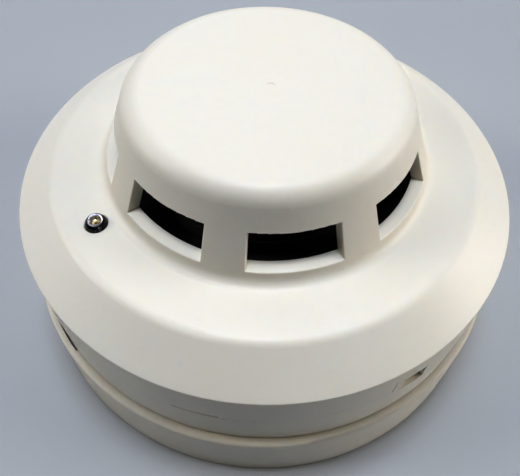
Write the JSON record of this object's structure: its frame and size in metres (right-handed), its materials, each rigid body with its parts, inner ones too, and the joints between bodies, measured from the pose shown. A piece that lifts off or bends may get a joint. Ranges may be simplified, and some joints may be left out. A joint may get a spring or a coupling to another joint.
{
  "type": "smoke detector",
  "caption": "Round domed point smoke detector: optical sensing head with side windows, twisted on to a flat mounting base with wiring terminals.",
  "frame": {"origin": "centre of the mounting base's back face, on the axis of the round body", "axes": "+Z out of the mounting surface through the dome; +X along the line of the two mounting slots"},
  "size_m": [0.1094, 0.1094, 0.0577],
  "materials": {
    "ivory_abs": "fine satin mould texture, ivory white",
    "housing_abs": "fine satin mould texture, ivory white",
    "base_abs": "fine satin mould texture, ivory white",
    "chamber_black": "light-absorbing matt black",
    "screen_black": "matt black",
    "lever_acetal": "natural acetal, slightly waxy",
    "gasket_foam": "closed-cell foam",
    "board_laminate": "green solder mask over glass epoxy",
    "chip_epoxy": "moulded epoxy",
    "resistor_body": "glazed top",
    "ceramic_body": "fired ceramic",
    "varistor_epoxy": "dipped epoxy, blue",
    "can_sleeve": "sleeved aluminium can",
    "led_clear": "clear epoxy lens",
    "infrared_lens": "tinted epoxy lens",
    "photodiode_black": "infrared-pass black epoxy",
    "tin_wire": "tinned copper",
    "shield_tin": "tin plate",
    "zinc_steel": "zinc-plated steel",
    "nickel_brass": "nickel-plated brass",
    "spring_bronze": "phosphor bronze strip",
    "pin_steel": "plain steel pin"
  },
  "bodies": {
    "base": {"mounting_base": "base_abs", "base_contacts": "spring_bronze", "terminal_clamps": "zinc_steel", "terminal_screws": "zinc_steel", "lock_pin": "pin_steel"},
    "lock": {"lock_lever": "lever_acetal"},
    "head": {"top_cover": "ivory_abs", "rear_housing": "housing_abs", "chamber_base": "chamber_black", "chamber_cover": "chamber_black", "insect_screen": "screen_black", "chamber_gasket": "gasket_foam", "circuit_board": "board_laminate", "microcontroller": "chip_epoxy", "amplifier_chip": "chip_epoxy", "transistors": "chip_epoxy", "rectifier_diodes": "chip_epoxy", "chip_resistors": "resistor_body", "chip_capacitors": "ceramic_body", "varistor": "varistor_epoxy", "electrolytic_capacitors": "can_sleeve", "status_led": "led_clear", "ir_emitter": "infrared_lens", "photodiode": "photodiode_black", "component_leads": "tin_wire", "photodiode_shield": "shield_tin", "contact_screws": "zinc_steel", "board_screws": "zinc_steel", "chamber_screws": "zinc_steel", "contact_blades": "nickel_brass", "contact_pillars": "nickel_brass"}
  },
  "joints": [
    {"name": "head_twist", "type": "hinge", "parent": "base", "child": "head", "pos_m": [0, 0, 0.01], "axis": [0, 0, 1], "range_deg": [0, 20]},
    {"name": "lock_lift", "type": "hinge", "parent": "base", "child": "lock", "pos_m": [-0.03444, -0.01755, 0.005], "axis": [-0.454, 0.891, 0], "range_deg": [0, 9.5]}
  ]
}
